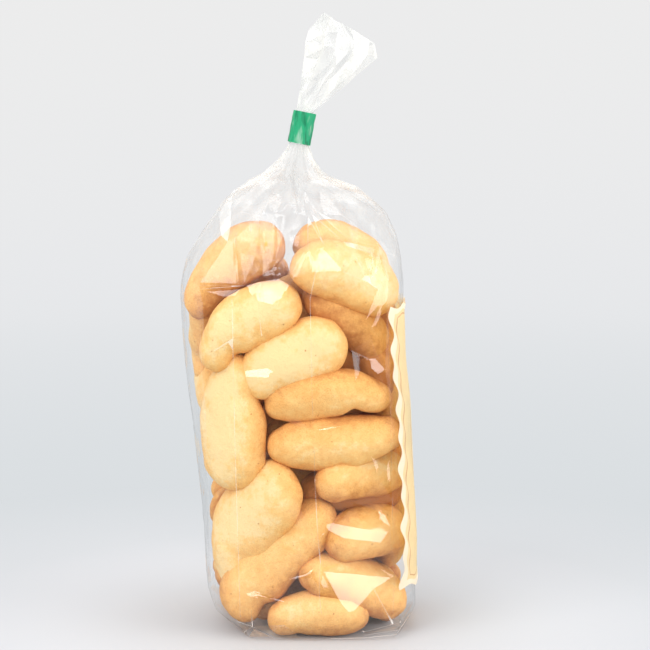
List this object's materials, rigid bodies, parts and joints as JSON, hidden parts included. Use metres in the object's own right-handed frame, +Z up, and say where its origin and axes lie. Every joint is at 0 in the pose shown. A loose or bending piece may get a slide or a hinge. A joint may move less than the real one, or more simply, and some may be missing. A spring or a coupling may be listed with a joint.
{
  "type": "bag of lemon cookies",
  "caption": "Clear block-bottom bag packed with short curved lemon cookies, gathered at the neck and tied with green tape, with a cream paper label on one wide side.",
  "frame": {"origin": "middle of the bag's box, on the surface it stands on", "axes": "+Z up towards the tied neck; +X out of the wide side that carries the label; -Y out of the narrow gusseted side that faces the picture's camera"},
  "size_m": [0.1104, 0.0924, 0.292],
  "materials": {
    "bag_filled": "clear glossy film over pale golden cookies",
    "bag_film": "clear glossy crinkled cellophane",
    "cookie_crust": "dry baked crust, pale on top with golden brown sides",
    "tie_tape": "satin green tape",
    "label_paper": "matte cream paper with a wavy edge"
  },
  "bodies": {
    "root": {"bag": "bag_filled", "bag_top": "bag_film", "tie": "tie_tape", "label": "label_paper"}
  },
  "joints": []
}
